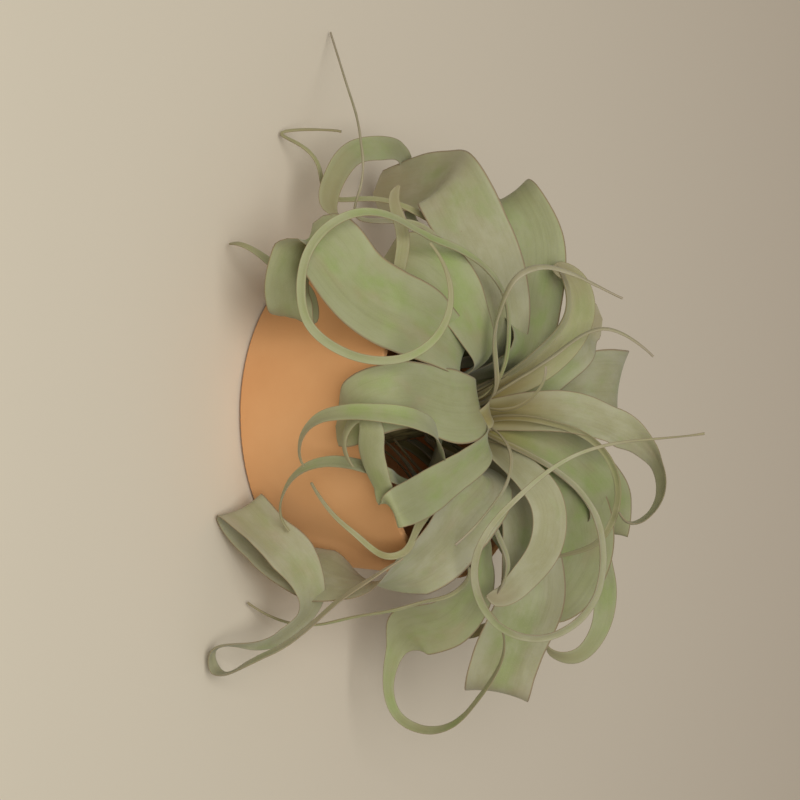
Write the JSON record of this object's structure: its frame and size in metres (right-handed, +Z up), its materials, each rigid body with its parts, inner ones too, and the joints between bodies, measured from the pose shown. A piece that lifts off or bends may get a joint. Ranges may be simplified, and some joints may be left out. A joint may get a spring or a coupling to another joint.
{
  "type": "air plant holder",
  "caption": "Squat round terracotta holder with an open mouth; a curly silver air plant sits loose in it and lifts out.",
  "frame": {"origin": "centre of the underside of the base pad, on the surface the holder stands on", "axes": "+Z up; -Y towards the front, the side the picture shows; +X to the right seen from the front"},
  "size_m": [0.3397, 0.2279, 0.1956],
  "materials": {
    "terracotta": "matte",
    "cork": "matte",
    "stem": "matte",
    "leaf_green": "matte",
    "leaf_silver": "matte",
    "leaf_olive": "matte"
  },
  "bodies": {
    "holder": {"holder_pot": "terracotta", "base_pad": "cork"},
    "air_plant": {"plant_stem": "stem", "leaf_back_far_left": "leaf_green", "leaf_back_far_right": "leaf_green", "leaf_back_left_low": "leaf_green", "leaf_back_left_pale": "leaf_silver", "leaf_back_low": "leaf_green", "leaf_back_right_broad": "leaf_green", "leaf_back_right_green": "leaf_green", "leaf_back_right_low": "leaf_green", "leaf_back_square": "leaf_silver", "leaf_back_tall": "leaf_green", "leaf_big_ring": "leaf_silver", "leaf_crown_cup": "leaf_olive", "leaf_floor_hook": "leaf_olive", "leaf_front_band": "leaf_green", "leaf_front_drape": "leaf_green", "leaf_front_left_scroll": "leaf_green", "leaf_front_narrow_loop": "leaf_green", "leaf_front_right_fold": "leaf_silver", "leaf_left_arch_dark": "leaf_olive", "leaf_left_arch_upper": "leaf_olive", "leaf_left_broad": "leaf_green", "leaf_left_pale": "leaf_green", "leaf_left_ring": "leaf_green", "leaf_left_thin": "leaf_green", "leaf_long_left_tip": "leaf_green", "leaf_lower_left_curl": "leaf_green", "leaf_narrow_arch": "leaf_silver", "leaf_pink_arch": "leaf_olive", "leaf_pot_loop": "leaf_green", "leaf_pot_thin": "leaf_olive", "leaf_right_arch": "leaf_green", "leaf_right_green_loop": "leaf_green", "leaf_right_square": "leaf_silver", "leaf_right_thin": "leaf_green", "leaf_thin_arc": "leaf_olive", "leaf_thin_front_right": "leaf_green", "leaf_thin_left_hook": "leaf_silver", "leaf_thin_up_left": "leaf_olive", "leaf_upper_left": "leaf_green", "leaf_upper_right_curl": "leaf_green"}
  },
  "joints": [
    {"name": "plant_lift", "type": "slide", "parent": "holder", "child": "air_plant", "axis": [0, 0, 1], "range_m": [0, 0.15]}
  ]
}
